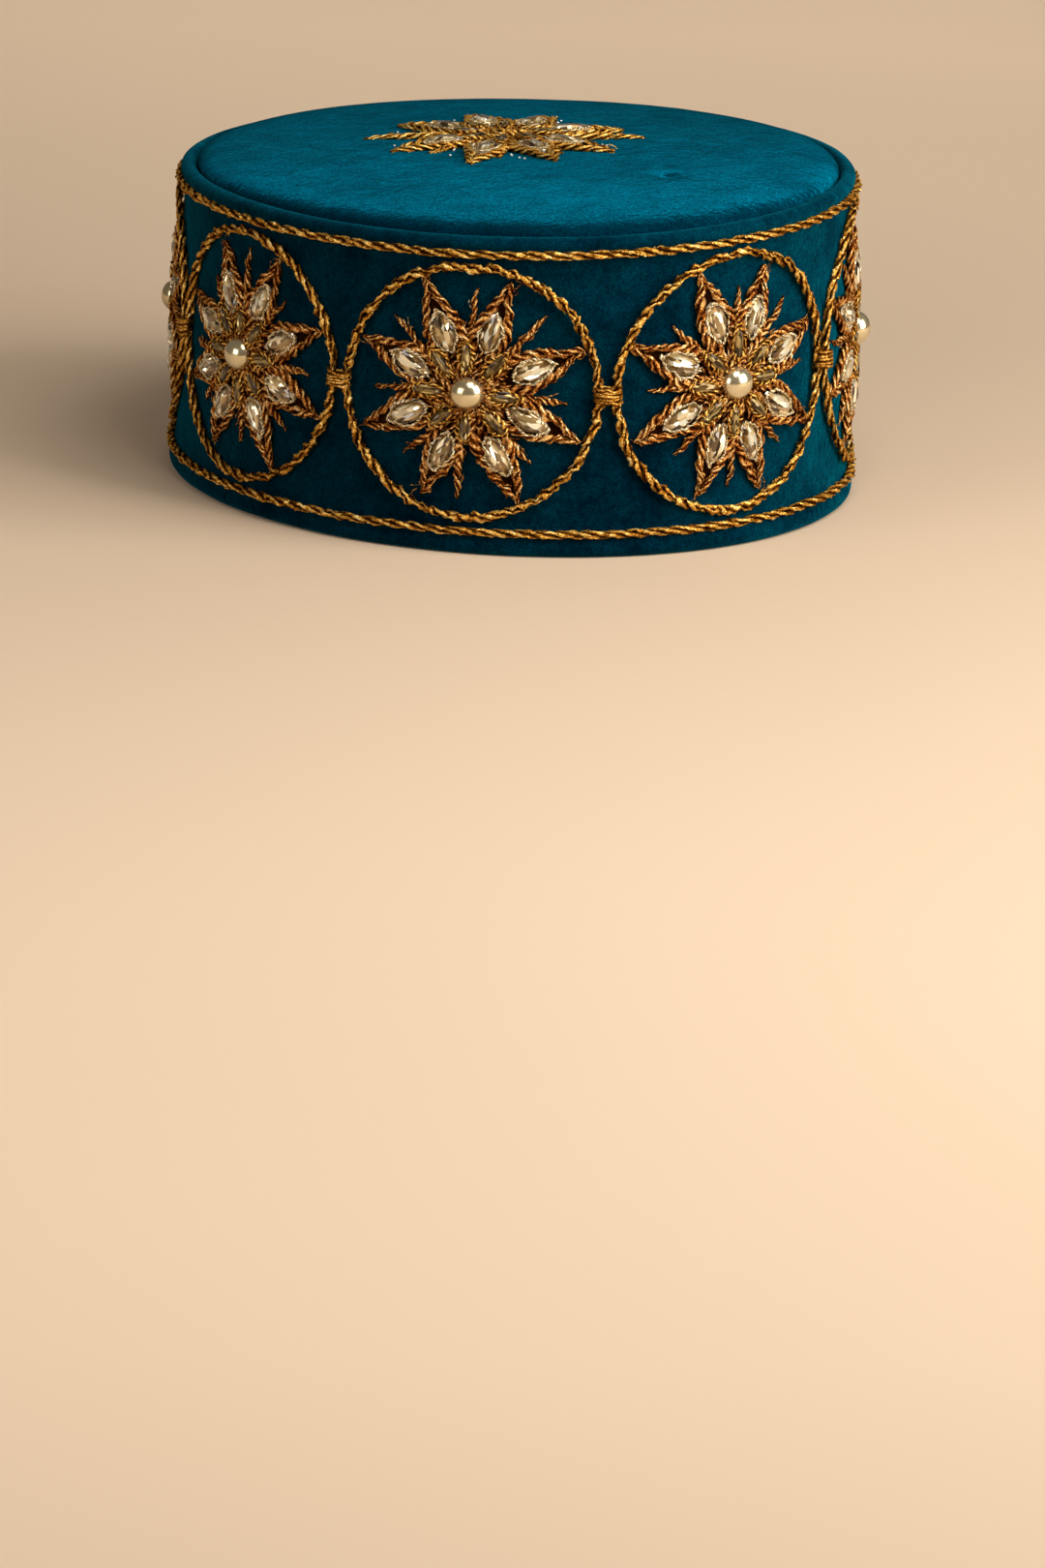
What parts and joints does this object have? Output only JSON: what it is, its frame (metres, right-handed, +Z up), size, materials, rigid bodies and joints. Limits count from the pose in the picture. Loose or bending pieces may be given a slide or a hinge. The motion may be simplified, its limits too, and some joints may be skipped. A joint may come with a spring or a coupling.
{
  "type": "chieftaincy cap",
  "caption": "Stiff oval velvet pillbox cap with couched gold cord rings, crystal petal stars and pearls, open below for the head.",
  "frame": {"origin": "centre of the cap's box on the plane of its rim", "axes": "+Z up through the crown, the wearer's front towards -Y, +X to the wearer's left, long axis of the oval along Y"},
  "size_m": [0.1974, 0.2138, 0.098],
  "materials": {
    "velvet": "short pile teal velvet with a soft sheen",
    "gold_cord": "twisted metallic gold thread, bright with rust brown shadows",
    "crystal_star": "gold purl wire set with clear foil backed crystals",
    "pearl": "glossy champagne pearl"
  },
  "bodies": {
    "root": {"side_band": "velvet", "crown": "velvet", "border_cord_bottom": "gold_cord", "border_cord_top": "gold_cord", "ring_cord_1": "gold_cord", "ring_tie_1": "gold_cord", "star_1": "crystal_star", "pearl_1": "pearl", "ring_cord_2": "gold_cord", "ring_tie_2": "gold_cord", "star_2": "crystal_star", "pearl_2": "pearl", "ring_cord_3": "gold_cord", "ring_tie_3": "gold_cord", "star_3": "crystal_star", "pearl_3": "pearl", "ring_cord_4": "gold_cord", "ring_tie_4": "gold_cord", "star_4": "crystal_star", "pearl_4": "pearl", "ring_cord_5": "gold_cord", "ring_tie_5": "gold_cord", "star_5": "crystal_star", "pearl_5": "pearl", "ring_cord_6": "gold_cord", "ring_tie_6": "gold_cord", "star_6": "crystal_star", "pearl_6": "pearl", "ring_cord_7": "gold_cord", "ring_tie_7": "gold_cord", "star_7": "crystal_star", "pearl_7": "pearl", "ring_cord_8": "gold_cord", "ring_tie_8": "gold_cord", "star_8": "crystal_star", "pearl_8": "pearl", "star_top": "crystal_star"}
  },
  "joints": []
}
